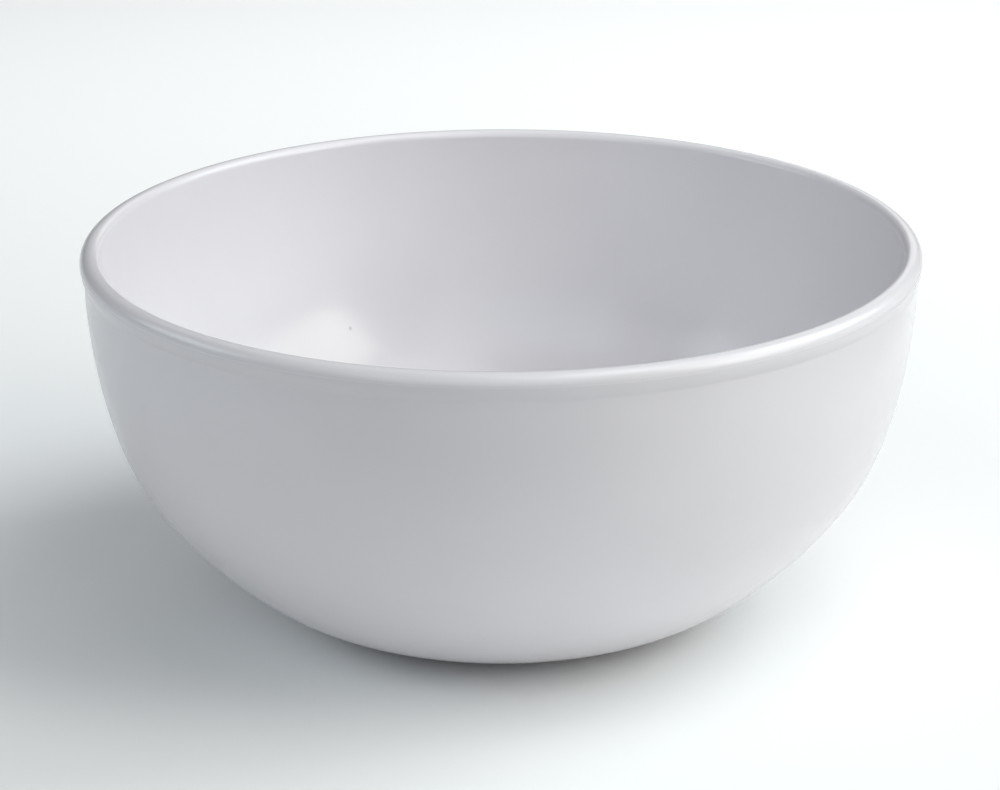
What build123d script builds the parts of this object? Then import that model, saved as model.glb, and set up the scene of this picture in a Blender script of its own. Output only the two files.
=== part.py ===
"""Serving bowl: one moulded melamine shell with a rounded lip and a low foot ring.

The bowl is a single turned shape. Its frame has +Z up along the bowl's axis, and
its origin is where that axis meets the surface that the foot stands on.
All lengths are in millimetres and all angles in degrees.
"""

import os

from math import atan, cos, degrees, radians, sin

from build123d import *

# Overall size
rim_radius = 125.0
height = 114.5

# Wall, as the outside turns from flat underneath to upright below the lip
wall_thickness = 4.6
lower_wall_slope = 36.7
lower_wall_radius = 124.75
shoulder_slope = 54.0
shoulder_radius = 70.75
upper_wall_slope = 72.2
upper_wall_radius = 156.75
upright_depth = 7.0

# Lip: a rounded bead that swells out past the wall, from a crease a little lower
# than where the wall would stand upright
lip_overhang = 1.1
lip_crease_lean = 0.4
lip_crease_radius = 1.8
lip_outer_rounding = 3.4

# Foot ring, which carries the bowl and keeps its base clear of the table
foot_radius = 45.0
foot_width = 4.0
foot_height = 2.0
foot_rounding = 0.8
foot_root_radius = 1.0

# Sizes that follow from those above
crease_lean = radians(lip_crease_lean)
lip_depth = upright_depth + upper_wall_radius * sin(crease_lean)
wall_top = height - upright_depth
wall_radius = rim_radius - lip_overhang + upper_wall_radius * (1.0 - cos(crease_lean))
inside_radius = wall_radius - wall_thickness
lip_inner_rounding = rim_radius - lip_outer_rounding - inside_radius
lip_out = lip_overhang + lip_crease_radius * (1.0 - cos(crease_lean))
lip_up = lip_depth - lip_outer_rounding + lip_crease_radius * sin(crease_lean)
lip_turn = 2.0 * degrees(atan(lip_out / lip_up))
lip_face_radius = lip_up / sin(radians(lip_turn)) - lip_crease_radius


def wall_arcs():
    """Radius and turn of each outside arc, from the flat base up to where the wall is upright."""
    upper_arcs = [
        (lower_wall_radius, lower_wall_slope, shoulder_slope),
        (shoulder_radius, shoulder_slope, upper_wall_slope),
        (upper_wall_radius, upper_wall_slope, 90.0),
    ]
    rise = sum(radius * (cos(radians(low)) - cos(radians(high))) for radius, low, high in upper_arcs)
    base_rise = wall_top - foot_height - rise
    base_radius = base_rise / (1.0 - cos(radians(lower_wall_slope)))
    arcs = [(base_radius, 0.0, lower_wall_slope)] + upper_arcs
    reach = sum(radius * (sin(radians(high)) - sin(radians(low))) for radius, low, high in arcs)
    flat_radius = wall_radius - reach
    return flat_radius, [(radius, high - low) for radius, low, high in arcs]


def run(edge, length):
    """A straight line on from an edge's end, in the direction that the edge ends in."""
    return Line(edge @ 1, edge @ 1 + edge % 1 * length)


def bend(edge, radius, turn):
    """A tangent arc on from an edge's end, turning left when the turn is positive."""
    return JernArc(edge @ 1, edge % 1, radius, turn)


def bowl_section():
    """Half section, drawn outwards under the base, up the outside and back down the inside."""
    flat_radius, arcs = wall_arcs()
    with BuildSketch() as section:
        with BuildLine():
            # Recessed base and foot ring
            edge = Line((0, foot_height), (foot_radius - foot_width - foot_root_radius, foot_height))
            edge = bend(edge, foot_root_radius, -90)
            edge = run(edge, foot_height - foot_root_radius - foot_rounding)
            edge = bend(edge, foot_rounding, 90)
            edge = run(edge, foot_width - 2 * foot_rounding)
            edge = bend(edge, foot_rounding, 90)
            edge = run(edge, foot_height - foot_root_radius - foot_rounding)
            edge = bend(edge, foot_root_radius, -90)
            edge = run(edge, flat_radius - foot_radius - foot_root_radius)
            # Outside of the wall, up to the crease under the lip
            for radius, turn in arcs[:-1]:
                edge = bend(edge, radius, turn)
            edge = bend(edge, upper_wall_radius, arcs[-1][1] - lip_crease_lean)
            # Lip: out through the crease, up its face, over the top and in
            edge = bend(edge, lip_crease_radius, lip_crease_lean - lip_turn)
            edge = bend(edge, lip_face_radius, lip_turn)
            edge = bend(edge, lip_outer_rounding, 90)
            edge = bend(edge, lip_inner_rounding, 90)
            edge = run(edge, upright_depth - lip_inner_rounding)
            # Inside of the wall, parallel to the outside, and the flat floor
            for radius, turn in reversed(arcs):
                edge = bend(edge, radius - wall_thickness, -turn)
            edge = run(edge, flat_radius)
            Line(edge @ 1, (0, foot_height))
        make_face()
    return section.sketch


def make_bowl():
    """The half section turned once about the bowl's axis."""
    return revolve(Plane.XZ * bowl_section(), Axis.Z)


os.makedirs("parts", exist_ok=True)
bowl = make_bowl()
bowl.label = "bowl"
export_step(bowl, "parts/bowl.step")
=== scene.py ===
"""A white moulded serving bowl: its turned shell, its finish and the small studio it stands in.

Lengths are in metres. The bowl's axis is +Z, and its foot stands on the floor at Z = 0.
"""

from math import atan, copysign, cos, pi, radians, sin

import bmesh
import bpy
from bpy.props import FloatProperty, FloatVectorProperty, IntProperty, PointerProperty
from mathutils import Matrix, Vector


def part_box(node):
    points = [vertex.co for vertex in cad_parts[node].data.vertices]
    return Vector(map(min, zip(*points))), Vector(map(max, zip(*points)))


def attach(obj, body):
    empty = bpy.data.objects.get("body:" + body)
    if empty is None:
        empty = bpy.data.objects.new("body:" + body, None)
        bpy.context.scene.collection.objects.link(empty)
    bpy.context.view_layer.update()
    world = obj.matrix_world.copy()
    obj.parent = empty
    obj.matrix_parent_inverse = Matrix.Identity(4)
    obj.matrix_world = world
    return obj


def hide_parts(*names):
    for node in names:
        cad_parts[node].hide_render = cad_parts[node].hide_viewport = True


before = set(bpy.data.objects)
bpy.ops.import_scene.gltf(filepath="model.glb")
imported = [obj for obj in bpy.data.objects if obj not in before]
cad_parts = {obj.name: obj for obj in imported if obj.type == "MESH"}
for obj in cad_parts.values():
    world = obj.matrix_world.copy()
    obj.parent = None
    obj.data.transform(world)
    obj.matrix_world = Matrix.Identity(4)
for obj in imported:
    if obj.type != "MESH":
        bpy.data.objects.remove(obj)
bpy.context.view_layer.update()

bl_info = {
    "name": "Serving Bowl",
    "version": (1, 0, 0),
    "blender": (4, 5, 0),
    "location": "View3D > Sidebar > Bowl",
    "description": "Makes a white serving bowl with a rounded lip, and a small studio for it",
    "category": "Object",
}

BOWL_LOW, BOWL_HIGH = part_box("bowl")
RIM_RADIUS = (BOWL_HIGH.x - BOWL_LOW.x) / 2
HEIGHT = BOWL_HIGH.z
MM = 0.001
QUARTER_TURN = pi / 2

# Degrees of turn that one face covers, along each kind of arc in the half section
FOOT_STEP = 9
WALL_STEP = 2
LIP_FACE_STEP = 3
CREST_OUTER_STEP = 5
CREST_INNER_STEP = 6

# Widths of the narrow faces beside tight rounds, which keep the flats' shading flat
FOOT_BAND = 0.6 * MM
CREST_BAND = 0.4 * MM
INSIDE_BAND = 1.0 * MM
FLOOR_BAND = 2.0 * MM

# Vertices nearer to each other than this are one
WELD_DISTANCE = 1e-6

# Most of a noise texture's values lie between the first and the last of these
NOISE_LOW = 0.3
NOISE_HALF_WAY = 0.45
NOISE_HIGH = 0.7

# The mix node's sockets, whose names repeat
MIX_AMOUNT = 0
MIX_NUMBERS = (2, 3)
MIX_COLOURS = (6, 7)
MIX_NUMBER_RESULT = 0
MIX_COLOUR_RESULT = 2

# Distances from the bowl's axis between which the floor turns into a lit backdrop
BACKDROP_NEAR = 1.2
BACKDROP_FAR = 2.6

# Panel over the floor behind the bowl, facing straight down
FLOOR_PANEL_BEHIND = 0.75
FLOOR_PANEL_HEIGHT = 1.0
FLOOR_PANEL_SIZE = (1.4, 0.7)

# How widely light leaves that panel and the other softboxes, in degrees
FLOOR_PANEL_SPREAD = 80
SOFTBOX_SPREAD = 180

# The camera's sensor, in millimetres, and how far it sees
SENSOR_WIDTH = 36.0
CAMERA_REACH = 20.0


def length(name, description, default):
    """A length property, in metres, for one of the sizes that a user may change."""
    return FloatProperty(
        name=name, description=description, default=default, min=0.0, unit="LENGTH", precision=5
    )


def angle(name, description, degrees_default):
    """An angle property whose default is given in degrees."""
    return FloatProperty(
        name=name, description=description, default=radians(degrees_default), unit="ROTATION"
    )


def colour(name, description, default):
    """A colour property, in linear RGB."""
    return FloatVectorProperty(
        name=name, description=description, default=default, subtype="COLOR", min=0.0, max=1.0
    )


def factor(name, description, default):
    """A plain number between nought and one."""
    return FloatProperty(
        name=name, description=description, default=default, min=0.0, max=1.0, subtype="FACTOR"
    )


def power(name, description, default):
    """The power of a softbox, in watts."""
    return FloatProperty(name=name, description=description, default=default, min=0.0, unit="POWER")


class BowlShapeSettings(bpy.types.PropertyGroup):
    """Sizes of the bowl's half section."""

    rim_radius: length("Rim radius", "From the axis to the outside of the lip", RIM_RADIUS)
    height: length("Height", "From the table to the crest of the lip", HEIGHT)
    wall_thickness: length("Wall thickness", "Thickness of the wall and floor", 4.6 * MM)
    lower_wall_slope: angle("Lower slope", "Slope where the base's round ends", 36.7)
    lower_wall_radius: length("Lower wall radius", "Radius of the lower wall's arc", 124.75 * MM)
    shoulder_slope: angle("Shoulder slope", "Slope where the lower wall meets the shoulder", 54)
    shoulder_radius: length("Shoulder radius", "Radius of the shoulder's arc", 70.75 * MM)
    upper_wall_slope: angle("Upper slope", "Slope where the shoulder meets the upper wall", 72.2)
    upper_wall_radius: length("Upper wall radius", "Radius of the upper wall's arc", 156.75 * MM)
    upright_depth: length("Upright depth", "Depth at which the wall is upright", 7.0 * MM)
    lip_overhang: length("Lip overhang", "How far the lip stands out past the wall", 1.1 * MM)
    lip_crease_lean: angle("Crease lean", "Lean of the wall where it meets the crease", 0.4)
    lip_crease_radius: length("Crease radius", "Hollow round under the lip", 1.8 * MM)
    lip_outer_rounding: length("Lip rounding", "Round on the crest's outside", 3.4 * MM)
    foot_radius: length("Foot radius", "Outside radius of the foot ring", 45 * MM)
    foot_width: length("Foot width", "Width of the foot ring", 4 * MM)
    foot_height: length("Foot height", "How far the foot ring lifts the base", 2 * MM)
    foot_rounding: length("Foot rounding", "Round on the foot ring's edges", 0.8 * MM)
    foot_root_radius: length("Foot root", "Hollow round beside the foot ring", 1.0 * MM)
    turns: IntProperty(
        name="Faces round", description="Faces round the bowl", default=256, min=32, max=512
    )


def spin(mesh, parts, centre, axis, turn, steps, closed=False):
    """Sweeps the parts round an axis, and gives back the parts at the sweep's end."""
    return bmesh.ops.spin(
        mesh,
        geom=parts,
        cent=centre,
        axis=axis,
        dvec=(0.0, 0.0, 0.0),
        angle=turn,
        space=Matrix(),
        steps=steps,
        use_merge=closed,
        use_normal_flip=False,
        use_duplicate=False,
    )["geom_last"]


class SectionPen:
    """Draws a half section in the XZ plane, moving its tip along straight runs and tangent arcs."""

    def __init__(self, mesh, start):
        self.mesh = mesh
        self.tip = bmesh.ops.create_vert(mesh, co=start)["vert"][0]
        self.heading = Vector((1.0, 0.0, 0.0))

    def run(self, *lengths):
        """Goes straight on by each length in turn, with a vertex at the end of each."""
        for distance in lengths:
            moved = bmesh.ops.extrude_vert_indiv(self.mesh, verts=[self.tip])["verts"]
            bmesh.ops.translate(self.mesh, verts=moved, vec=self.heading * distance)
            self.tip = moved[0]

    def bend(self, radius, turn, steps):
        """Follows a tangent arc, turning left when the turn is positive."""
        left = Vector((-self.heading.z, 0.0, self.heading.x))
        centre = self.tip.co + left * copysign(radius, turn)
        axis = (0.0, -1.0, 0.0)
        spun = spin(self.mesh, [self.tip], centre, axis, turn, steps)
        self.tip = [part for part in spun if isinstance(part, bmesh.types.BMVert)][0]
        self.heading = Matrix.Rotation(turn, 3, axis) @ self.heading


def upright_radius(shape):
    """The outside radius of the wall where it is upright."""
    lean_width = shape.upper_wall_radius * (1.0 - cos(shape.lip_crease_lean))
    return shape.rim_radius - shape.lip_overhang + lean_width


def wall_arcs(shape):
    """The flat base's radius, and the radius and turn of each outside arc from there to upright."""
    wall_top = shape.height - shape.upright_depth
    upper_arcs = [
        (shape.lower_wall_radius, shape.lower_wall_slope, shape.shoulder_slope),
        (shape.shoulder_radius, shape.shoulder_slope, shape.upper_wall_slope),
        (shape.upper_wall_radius, shape.upper_wall_slope, QUARTER_TURN),
    ]
    rise = sum(radius * (cos(low) - cos(high)) for radius, low, high in upper_arcs)
    base_radius = (wall_top - shape.foot_height - rise) / (1.0 - cos(shape.lower_wall_slope))
    arcs = [(base_radius, 0.0, shape.lower_wall_slope)] + upper_arcs
    reach = sum(radius * (sin(high) - sin(low)) for radius, low, high in arcs)
    return upright_radius(shape) - reach, [(radius, high - low) for radius, low, high in arcs]


def arc_steps(turn, step_degrees):
    """How many faces an arc of this turn takes, when each covers about so many degrees."""
    return max(2, round(abs(turn) / radians(step_degrees)))


def draw_foot(pen, shape, flat_radius):
    """The recessed base and the foot ring, from the axis out to where the wall starts to rise."""
    round_steps = arc_steps(QUARTER_TURN, FOOT_STEP)
    ring_side = shape.foot_height - shape.foot_root_radius - shape.foot_rounding
    ring_face = shape.foot_width - 2 * shape.foot_rounding
    panel = shape.foot_radius - shape.foot_width - shape.foot_root_radius
    pen.run(panel / 2, panel / 2 - FOOT_BAND, FOOT_BAND)
    pen.bend(shape.foot_root_radius, -QUARTER_TURN, round_steps)
    pen.run(ring_side)
    pen.bend(shape.foot_rounding, QUARTER_TURN, round_steps)
    pen.run(FOOT_BAND / 2, ring_face - FOOT_BAND, FOOT_BAND / 2)
    pen.bend(shape.foot_rounding, QUARTER_TURN, round_steps)
    pen.run(ring_side)
    pen.bend(shape.foot_root_radius, -QUARTER_TURN, round_steps)
    pen.run(flat_radius - shape.foot_radius - shape.foot_root_radius)


def draw_lip(pen, shape):
    """Out through the crease, up the lip's face, over its crest and down the upright inside."""
    lean = shape.lip_crease_lean
    lip_depth = shape.upright_depth + shape.upper_wall_radius * sin(lean)
    out = shape.lip_overhang + shape.lip_crease_radius * (1.0 - cos(lean))
    up = lip_depth - shape.lip_outer_rounding + shape.lip_crease_radius * sin(lean)
    swell_turn = 2.0 * atan(out / up)
    face_radius = up / sin(swell_turn) - shape.lip_crease_radius
    crest_radius = shape.rim_radius - shape.lip_outer_rounding
    inner_rounding = crest_radius - upright_radius(shape) + shape.wall_thickness
    face_steps = arc_steps(swell_turn, LIP_FACE_STEP)
    pen.bend(shape.lip_crease_radius, lean - swell_turn, face_steps)
    pen.bend(face_radius, swell_turn, face_steps)
    outer_steps = arc_steps(QUARTER_TURN, CREST_OUTER_STEP)
    pen.bend(shape.lip_outer_rounding, QUARTER_TURN, outer_steps)
    pen.bend(inner_rounding, QUARTER_TURN, arc_steps(QUARTER_TURN, CREST_INNER_STEP))
    straight = shape.upright_depth - inner_rounding
    pen.run(CREST_BAND, straight - CREST_BAND - INSIDE_BAND, INSIDE_BAND)


def bowl_mesh(shape):
    """The half section turned a full circle into one closed shell."""
    mesh = bmesh.new()
    flat_radius, arcs = wall_arcs(shape)
    pen = SectionPen(mesh, (0.0, 0.0, shape.foot_height))
    draw_foot(pen, shape, flat_radius)
    for radius, turn in arcs[:-1]:
        pen.bend(radius, turn, arc_steps(turn, WALL_STEP))
    radius, turn = arcs[-1]
    pen.bend(radius, turn - shape.lip_crease_lean, arc_steps(turn, WALL_STEP))
    draw_lip(pen, shape)
    for radius, turn in reversed(arcs):
        pen.bend(radius - shape.wall_thickness, -turn, arc_steps(turn, WALL_STEP))
    pen.run(FLOOR_BAND, flat_radius / 2 - FLOOR_BAND, flat_radius / 2)
    section = mesh.verts[:] + mesh.edges[:]
    axis = (0.0, 0.0, 1.0)
    spin(mesh, section, (0.0, 0.0, 0.0), axis, 2.0 * pi, shape.turns, closed=True)
    bmesh.ops.remove_doubles(mesh, verts=mesh.verts[:], dist=WELD_DISTANCE)
    bmesh.ops.recalc_face_normals(mesh, faces=mesh.faces[:])
    if not all(edge.is_manifold for edge in mesh.edges):
        raise RuntimeError("the bowl's shell isn't closed")
    for face in mesh.faces:
        face.smooth = True
    return mesh


def add_piece(name, mesh):
    """A new object at the origin that holds the bmesh, which is freed."""
    data = bpy.data.meshes.new(name)
    mesh.to_mesh(data)
    mesh.free()
    piece = bpy.data.objects.new(name, data)
    bpy.context.collection.objects.link(piece)
    return piece


class FinishSettings(bpy.types.PropertyGroup):
    """Look of the white moulding resin."""

    body_colour: colour("Body colour", "Colour of the resin", (0.735, 0.713, 0.740))
    tone_variation: factor("Tone variation", "How far the tone drifts, light to dark", 0.02)
    tone_size: length("Tone size", "Size of the patches of lighter and darker tone", 45 * MM)
    refraction: FloatProperty(
        name="Refraction", description="Refractive index of the resin", default=1.5, min=1.0
    )
    roughness: factor("Roughness", "Roughness of the polished faces", 0.21)
    roughness_variation: factor("Roughness variation", "How far the polish drifts", 0.05)
    polish_size: length("Polish size", "Size of the patches of duller polish", 18 * MM)
    peel_size: length("Peel size", "Size of the ripples left by the mould's polish", 3.0 * MM)
    peel_depth: length("Peel depth", "Depth of those ripples", 0.004 * MM)
    speck_colour: colour("Speck colour", "Colour of the specks", (0.54, 0.53, 0.52))
    speck_size: length("Speck size", "Radius of the largest speck", 0.9 * MM)
    speck_angle: angle("Speck angle", "Where the largest speck is, turned from +X", 117.35)
    speck_height: length("Speck height", "Height of the largest speck, inside", 53.4 * MM)
    speck_spacing: length("Speck spacing", "Distance between the fine specks", 14 * MM)
    trim_height: length("Trim height", "Half width of the mould line round the lip", 0.25 * MM)
    trim_roughness: factor("Trim roughness", "Roughness of the mould line", 0.34)
    foot_wear: length("Foot wear", "Height to which the foot's face is rubbed matt", 0.35 * MM)
    foot_roughness: factor("Foot roughness", "Roughness of the rubbed foot face", 0.55)
    foot_shade: factor("Foot shade", "How much of its lightness the rubbed foot keeps", 0.86)
    scuff_size: length("Scuff size", "Size of the scuffs on the foot's face", 1.2 * MM)


class NodeTree:
    """Adds shader nodes and joins them up."""

    def __init__(self, tree):
        self.tree = tree

    def add(self, kind, inputs=(), **settings):
        """A node with its settings, and each input either linked or set to a value."""
        node = self.tree.nodes.new(kind)
        for name, value in settings.items():
            setattr(node, name, value)
        for key, value in dict(inputs).items():
            if isinstance(value, bpy.types.NodeSocket):
                self.tree.links.new(value, node.inputs[key])
            else:
                node.inputs[key].default_value = value
        return node

    def math(self, operation, first, second=0.0):
        """The result of an operation on one or two numbers."""
        return self.add("ShaderNodeMath", {0: first, 1: second}, operation=operation).outputs[0]

    def vector(self, operation, output, first, second=(0.0, 0.0, 0.0)):
        """One output of an operation on one or two vectors."""
        node = self.add("ShaderNodeVectorMath", {0: first, 1: second}, operation=operation)
        return node.outputs[output]

    def place(self):
        """The place on the object, and its X, Y and Z."""
        place = self.add("ShaderNodeTexCoord").outputs["Object"]
        return place, self.add("ShaderNodeSeparateXYZ", {0: place}).outputs

    def noise(self, place, size, detail=2.0):
        """Even noise from 0 to 1, whose blotches are about this size."""
        inputs = {"Vector": place, "Scale": 1.0 / size, "Detail": detail}
        return self.add("ShaderNodeTexNoise", inputs).outputs["Fac"]

    def ramp(self, value, low, high, start=0.0, end=1.0):
        """The value mapped smoothly from low..high to start..end, and clamped there."""
        inputs = {0: value, "From Min": low, "From Max": high, "To Min": start, "To Max": end}
        return self.add("ShaderNodeMapRange", inputs, interpolation_type="SMOOTHSTEP").outputs[0]

    def patches(self, place, size, detail=2.0):
        """Soft patches of about this size, from 0 to 1."""
        return self.ramp(self.noise(place, size, detail), NOISE_LOW, NOISE_HIGH)

    def blend(self, amount, first, second):
        """One number turned into another as the amount goes from 0 to 1."""
        inputs = {MIX_AMOUNT: amount, MIX_NUMBERS[0]: first, MIX_NUMBERS[1]: second}
        return self.add("ShaderNodeMix", inputs).outputs[MIX_NUMBER_RESULT]

    def tint(self, amount, first, second):
        """One colour turned into another as the amount goes from 0 to 1."""
        inputs = {MIX_AMOUNT: amount, MIX_COLOURS[0]: first, MIX_COLOURS[1]: second}
        return self.add("ShaderNodeMix", inputs, data_type="RGBA").outputs[MIX_COLOUR_RESULT]

    def feed(self, shader, sources):
        """Links each source into the shader's input of that name."""
        for name, source in sources.items():
            self.tree.links.new(source, shader.inputs[name])


def opaque(rgb, scale=1.0):
    """An RGB colour, made lighter or darker, with its alpha."""
    return (*(channel * scale for channel in rgb), 1.0)


def speck_mask(nodes, place, height, finish, shape):
    """One clear speck on the inside and a scatter of far finer ones."""
    outward = Vector((cos(finish.speck_angle), sin(finish.speck_angle), 0.0))
    reach = nodes.vector("DOT_PRODUCT", "Value", place, outward)
    along = nodes.vector("DOT_PRODUCT", "Value", place, Vector((-outward.y, outward.x, 0.0)))
    rise = nodes.math("SUBTRACT", height, finish.speck_height)
    squares = nodes.math("ADD", nodes.math("POWER", along, 2.0), nodes.math("POWER", rise, 2.0))
    away = nodes.math("SQRT", squares)
    core = finish.speck_size * 0.2
    near = nodes.ramp(away, core, finish.speck_size, 1.0, 0.0)
    inside = nodes.math("LESS_THAN", reach, upright_radius(shape) - shape.wall_thickness)
    this_side = nodes.math("GREATER_THAN", reach, 0.0)
    single = nodes.math("MULTIPLY", near, nodes.math("MULTIPLY", inside, this_side))

    cell = {"Vector": place, "Scale": 1.0 / finish.speck_spacing}
    cell_distance = nodes.add("ShaderNodeTexVoronoi", cell).outputs["Distance"]
    fine_size = core / finish.speck_spacing
    fine_strength = 0.5
    fine = nodes.ramp(cell_distance, fine_size / 2, fine_size, fine_strength, 0.0)
    return nodes.math("MAXIMUM", single, fine)


def foot_scuffs(nodes, place, height, finish):
    """How rubbed the foot's face is, in scuffs that never leave it quite clean."""
    fully_rubbed = finish.foot_wear * 0.3
    rubbed = nodes.ramp(height, fully_rubbed, finish.foot_wear, 1.0, 0.0)
    lightest, heaviest = 0.35, 1.0
    scratches = nodes.noise(place, finish.scuff_size, detail=4.0)
    scuffs = nodes.ramp(scratches, NOISE_HALF_WAY, NOISE_HIGH, lightest, heaviest)
    return nodes.math("MULTIPLY", rubbed, scuffs)


def mould_line(nodes, place, height, finish, shape):
    """The trimmed line round the outside of the lip, where the mould's halves met."""
    line_height = shape.height - shape.lip_outer_rounding
    off_line = nodes.math("ABSOLUTE", nodes.math("SUBTRACT", height, line_height))
    core = finish.trim_height * 0.6
    band = nodes.ramp(off_line, core, finish.trim_height, 1.0, 0.0)
    level = nodes.vector("MULTIPLY", "Vector", place, (1.0, 1.0, 0.0))
    radius = nodes.vector("LENGTH", "Value", level)
    lip_outside = shape.rim_radius - 1.0 * MM
    outside = nodes.math("GREATER_THAN", radius, lip_outside)
    return nodes.math("MULTIPLY", band, outside)


def white_melamine(finish, shape):
    """Polished white moulding resin, with its mould line and its rubbed foot."""
    material = bpy.data.materials.new("white_melamine")
    material.use_nodes = True
    nodes = NodeTree(material.node_tree)
    shader = material.node_tree.nodes["Principled BSDF"]
    shader.inputs["IOR"].default_value = finish.refraction
    place, axes = nodes.place()
    height = axes["Z"]
    scuffs = foot_scuffs(nodes, place, height, finish)

    dark = opaque(finish.body_colour, 1.0 - finish.tone_variation / 2)
    light = opaque(finish.body_colour, 1.0 + finish.tone_variation / 2)
    body = nodes.tint(nodes.patches(place, finish.tone_size), dark, light)
    specks = speck_mask(nodes, place, height, finish, shape)
    specked = nodes.tint(specks, body, opaque(finish.speck_colour))
    rubbed_colour = opaque(finish.body_colour, finish.foot_shade)

    smoothest = finish.roughness - finish.roughness_variation / 2
    roughest = finish.roughness + finish.roughness_variation / 2
    polish = nodes.blend(nodes.patches(place, finish.polish_size, detail=3.0), smoothest, roughest)
    line = mould_line(nodes, place, height, finish, shape)
    trimmed = nodes.blend(line, polish, finish.trim_roughness)

    ripples = nodes.noise(place, finish.peel_size, detail=1.0)
    bump = {"Height": ripples, "Strength": 1.0, "Distance": finish.peel_depth}
    sources = {
        "Base Color": nodes.tint(scuffs, specked, rubbed_colour),
        "Roughness": nodes.blend(scuffs, trimmed, finish.foot_roughness),
        "Normal": nodes.add("ShaderNodeBump", bump).outputs["Normal"],
    }
    nodes.feed(shader, sources)
    return material


class BOWL_OT_make_shell(bpy.types.Operator):
    """Turn the bowl's moulded shell, with its lip and foot ring"""

    bl_idname = "bowl.make_shell"
    bl_label = "Make Bowl"
    bl_options = {"REGISTER", "UNDO"}

    def execute(self, context):
        shape = context.scene.bowl_shape
        shell = add_piece("bowl_shell", bowl_mesh(shape))
        shell.data.materials.append(white_melamine(context.scene.bowl_finish, shape))
        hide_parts("bowl")
        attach(shell, "root")
        return {"FINISHED"}


class StudioSettings(bpy.types.PropertyGroup):
    """Camera, lights and floor."""

    floor_size: length("Floor size", "Width and depth of the floor", 10.0)
    floor_colour: colour("Floor colour", "Colour of the pale floor", (0.9, 0.9, 0.9))
    # Painted shade: the floor's greyer part in front and far right stands in for the unlit parts of
    # the studio, and darkens the bowl's reflections there
    floor_painted_shade_colour: colour("Edge colour", "Floor colour past the pale part", (0.42, 0.42, 0.42))
    floor_front: length("Floor front", "Pale part's reach in front of the bowl's axis", 0.21)
    floor_right: length("Floor right", "Pale part's reach to the right of the bowl's axis", 0.30)
    floor_fade: length("Floor fade", "Width over which the floor's two tones meet", 0.08)
    floor_glow: factor("Floor glow", "Brightness of the floor where it is a backdrop", 0.7)
    floor_roughness: factor("Floor roughness", "Roughness of the pale floor", 0.8)
    camera_distance: length("Camera distance", "From the middle of the rim", 8 * RIM_RADIUS)
    camera_elevation: angle("Camera elevation", "Camera's rise, from the middle of the rim", 17.02)
    camera_pitch: angle("Camera pitch", "How far the camera looks down", 19.72)
    camera_turn: angle("Camera turn", "How far the camera looks left of the axis", 0.030)
    camera_roll: angle("Camera roll", "How far the camera leans", -0.20)
    camera_lens: FloatProperty(
        name="Lens", description="Focal length in millimetres", default=120.65, min=1.0
    )
    aim_height: length("Aim height", "Height on the axis that the softboxes face", 80 * MM)
    key_power: power("Key power", "Softbox at the right, towards the front", 6.8)
    key_edge_power: power("Key edge power", "Narrow softbox over the key's front edge", 2.4)
    side_power: power("Side power", "Softbox at the right, towards the back", 10.2)
    back_power: power("Back power", "Narrow softbox behind", 1.0)
    left_power: power("Left power", "Low softbox at the left", 4.3)
    front_power: power("Front power", "Large soft panel above the camera", 15.9)
    low_front_power: power("Low front power", "Wide low panel under the camera", 2.2)
    front_left_power: power("Front left power", "Soft panel at the front left", 1.5)
    top_power: power("Top power", "Softbox high at the right", 3.9)
    front_top_power: power("Front top power", "Softbox high at the front right", 4.2)
    floor_power: power("Floor power", "Panel over the floor behind the bowl", 1.9)
    white_tint: colour("White tint", "Colour of the plain softboxes", (1.0, 1.0, 1.0))
    key_tint: colour("Key tint", "Colour of the key softbox", (1.0, 0.99, 0.88))
    cool_tint: colour("Cool tint", "Colour of the side, left and front ones", (0.84, 0.96, 1.0))
    air_colour: colour("Air colour", "Light from all round the room", (0.02, 0.01, 0.01))


def softboxes(studio):
    """Each softbox's name, turn from +X, rise, distance, width, height, power and tint."""
    white, cool = studio.white_tint, studio.cool_tint
    return (
        ("key_softbox", 340, 28, 1.5, 0.80, 0.95, studio.key_power, studio.key_tint),
        ("key_edge_softbox", 331, 27, 1.5, 0.45, 0.90, studio.key_edge_power, white),
        ("side_softbox", 14, 36, 1.5, 0.80, 0.95, studio.side_power, cool),
        ("back_softbox", 74, 22, 1.5, 0.50, 0.75, studio.back_power, white),
        ("left_softbox", 178, 25, 1.5, 0.90, 0.60, studio.left_power, cool),
        ("front_panel", 262, 35, 2.4, 2.60, 1.60, studio.front_power, cool),
        ("low_front_panel", 265, 9, 2.0, 2.00, 0.40, studio.low_front_power, white),
        ("front_left_panel", 215, 40, 2.0, 1.20, 1.00, studio.front_left_power, white),
        ("top_softbox", 0, 66, 1.5, 0.90, 0.80, studio.top_power, white),
        ("front_top_softbox", 310, 66, 1.5, 0.90, 0.80, studio.front_top_power, white),
    )


def add_softbox(context, name, place, aim, size, watts, tint, spread=SOFTBOX_SPREAD):
    """A soft area light at a place, facing another place, that the camera doesn't see."""
    data = bpy.data.lights.new(name, "AREA")
    data.shape = "RECTANGLE"
    data.size, data.size_y = size
    data.spread = radians(spread)
    data.energy = watts
    data.color = tint
    softbox = bpy.data.objects.new(name, data)
    softbox.location = place
    softbox.rotation_euler = (aim - place).to_track_quat("-Z", "Y").to_euler()
    softbox.visible_camera = False
    context.collection.objects.link(softbox)


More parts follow.
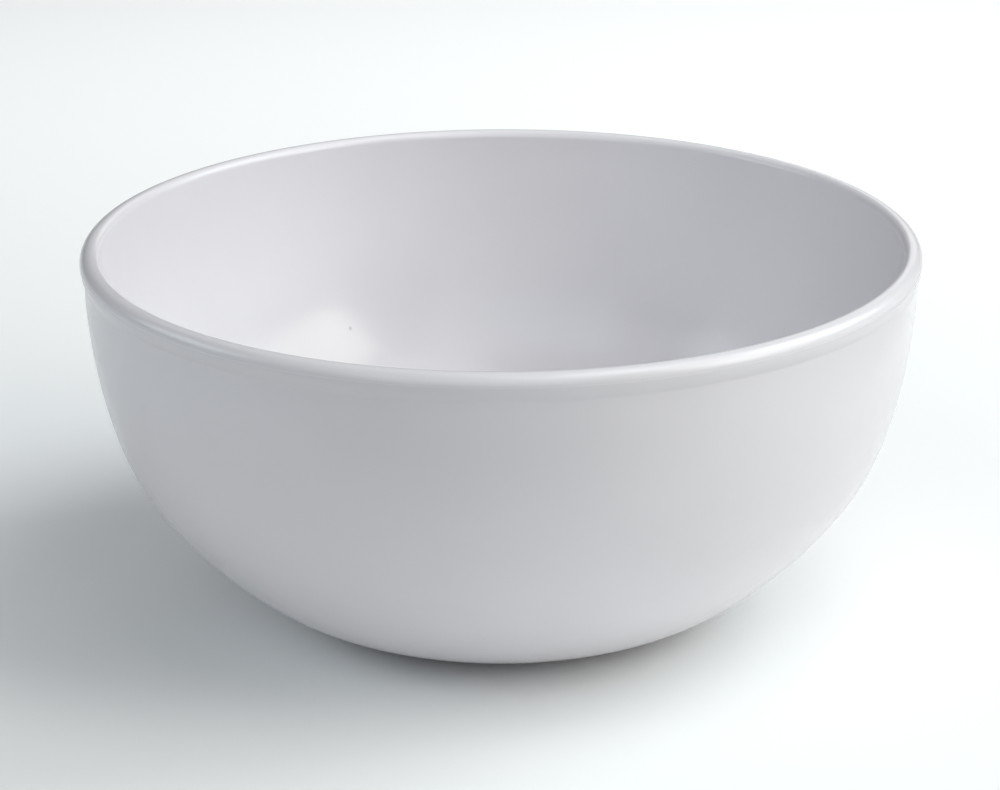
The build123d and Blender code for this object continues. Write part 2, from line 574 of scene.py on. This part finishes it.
def add_camera(context, studio):
    """The camera, in front of the bowl and a little above it, looking down into it."""
    data = bpy.data.cameras.new("studio_camera")
    data.lens = studio.camera_lens
    data.sensor_width = SENSOR_WIDTH
    data.clip_end = CAMERA_REACH
    camera = bpy.data.objects.new("studio_camera", data)
    rim_centre = Vector((0.0, 0.0, HEIGHT))
    reach = Vector((0.0, -cos(studio.camera_elevation), sin(studio.camera_elevation)))
    place = Matrix.Translation(rim_centre + reach * studio.camera_distance)
    turn = Matrix.Rotation(studio.camera_turn, 4, "Z")
    tilt = Matrix.Rotation(QUARTER_TURN - studio.camera_pitch, 4, "X")
    lean = Matrix.Rotation(studio.camera_roll, 4, "Z")
    camera.matrix_world = place @ turn @ tilt @ lean
    context.collection.objects.link(camera)
    context.scene.camera = camera


def pale_floor(studio):
    """Matt pale board with painted shade, greyer in front and far right, where it stands in for the
    studio's unlit parts that the bowl reflects. It is lit like a backdrop far away.
    """
    material = bpy.data.materials.new("pale_floor")
    material.use_nodes = True
    nodes = NodeTree(material.node_tree)
    shader = material.node_tree.nodes["Principled BSDF"]
    shader.inputs["Roughness"].default_value = studio.floor_roughness
    shader.inputs["Emission Color"].default_value = opaque((1.0, 1.0, 1.0))
    place, axes = nodes.place()
    half = studio.floor_fade / 2
    front, right = -studio.floor_front, studio.floor_right
    # Painted shade: the floor turns greyer in front of the bowl and far to its right, where the
    # studio is unlit
    past_front = nodes.ramp(axes["Y"], front - half, front + half, 1.0, 0.0)
    past_right = nodes.ramp(axes["X"], right - half, right + half)
    painted_shade_mask = nodes.math("MAXIMUM", past_front, past_right)
    away = nodes.vector("LENGTH", "Value", place)
    pale, painted_shade_colour = opaque(studio.floor_colour), opaque(studio.floor_painted_shade_colour)
    sources = {
        "Base Color": nodes.tint(painted_shade_mask, pale, painted_shade_colour),
        "Emission Strength": nodes.ramp(away, BACKDROP_NEAR, BACKDROP_FAR, 0.0, studio.floor_glow),
    }
    nodes.feed(shader, sources)
    return material


def studio_air(studio):
    """Faint light from all round, seen by the camera as a backdrop of the floor's colour."""
    world = bpy.data.worlds.new("studio_air")
    world.use_nodes = True
    nodes = NodeTree(world.node_tree)
    seen = nodes.add("ShaderNodeLightPath").outputs["Is Camera Ray"]
    tones = nodes.tint(seen, opaque(studio.air_colour), opaque(studio.floor_colour))
    nodes.feed(world.node_tree.nodes["Background"], {"Color": tones})
    return world


class BOWL_OT_set_stage(bpy.types.Operator):
    """Lay the floor and set the lights and the camera"""

    bl_idname = "bowl.set_stage"
    bl_label = "Set Stage"
    bl_options = {"REGISTER", "UNDO"}

    def execute(self, context):
        studio = context.scene.bowl_studio
        board = bmesh.new()
        bmesh.ops.create_grid(board, x_segments=1, y_segments=1, size=studio.floor_size / 2)
        floor = add_piece("floor", board)
        floor.data.materials.append(pale_floor(studio))
        add_camera(context, studio)

        aim = Vector((0.0, 0.0, studio.aim_height))
        for name, turn, rise, distance, width, height, watts, tint in softboxes(studio):
            turn, rise = radians(turn), radians(rise)
            way = Vector((cos(turn) * cos(rise), sin(turn) * cos(rise), sin(rise)))
            place = aim + way * distance
            add_softbox(context, name, place, aim, (width, height), watts, tint)
        below = Vector((0.0, FLOOR_PANEL_BEHIND, 0.0))
        add_softbox(
            context,
            "floor_panel",
            below + Vector((0.0, 0.0, FLOOR_PANEL_HEIGHT)),
            below,
            FLOOR_PANEL_SIZE,
            studio.floor_power,
            studio.white_tint,
            FLOOR_PANEL_SPREAD,
        )

        context.scene.world = studio_air(studio)
        context.scene.view_settings.view_transform = "Standard"
        return {"FINISHED"}


class BOWL_PT_panel(bpy.types.Panel):
    """The bowl's pieces and its stage"""

    bl_idname = "BOWL_PT_panel"
    bl_label = "Serving Bowl"
    bl_space_type = "VIEW_3D"
    bl_region_type = "UI"
    bl_category = "Bowl"

    def draw(self, context):
        parts = (
            (BOWL_OT_make_shell, context.scene.bowl_shape),
            (None, context.scene.bowl_finish),
            (BOWL_OT_set_stage, context.scene.bowl_studio),
        )
        for operator, settings in parts:
            box = self.layout.box()
            for name in settings.__annotations__:
                box.prop(settings, name)
            if operator:
                box.operator(operator.bl_idname)


CLASSES = (
    BowlShapeSettings,
    FinishSettings,
    StudioSettings,
    BOWL_OT_make_shell,
    BOWL_OT_set_stage,
    BOWL_PT_panel,
)


def register():
    for cls in CLASSES:
        bpy.utils.register_class(cls)
    bpy.types.Scene.bowl_shape = PointerProperty(type=BowlShapeSettings)
    bpy.types.Scene.bowl_finish = PointerProperty(type=FinishSettings)
    bpy.types.Scene.bowl_studio = PointerProperty(type=StudioSettings)


def unregister():
    del bpy.types.Scene.bowl_studio
    del bpy.types.Scene.bowl_finish
    del bpy.types.Scene.bowl_shape
    for cls in reversed(CLASSES):
        bpy.utils.unregister_class(cls)


def main():
    register()
    bpy.ops.bowl.make_shell()
    bpy.ops.bowl.set_stage()


if __name__ == "__main__":
    main()
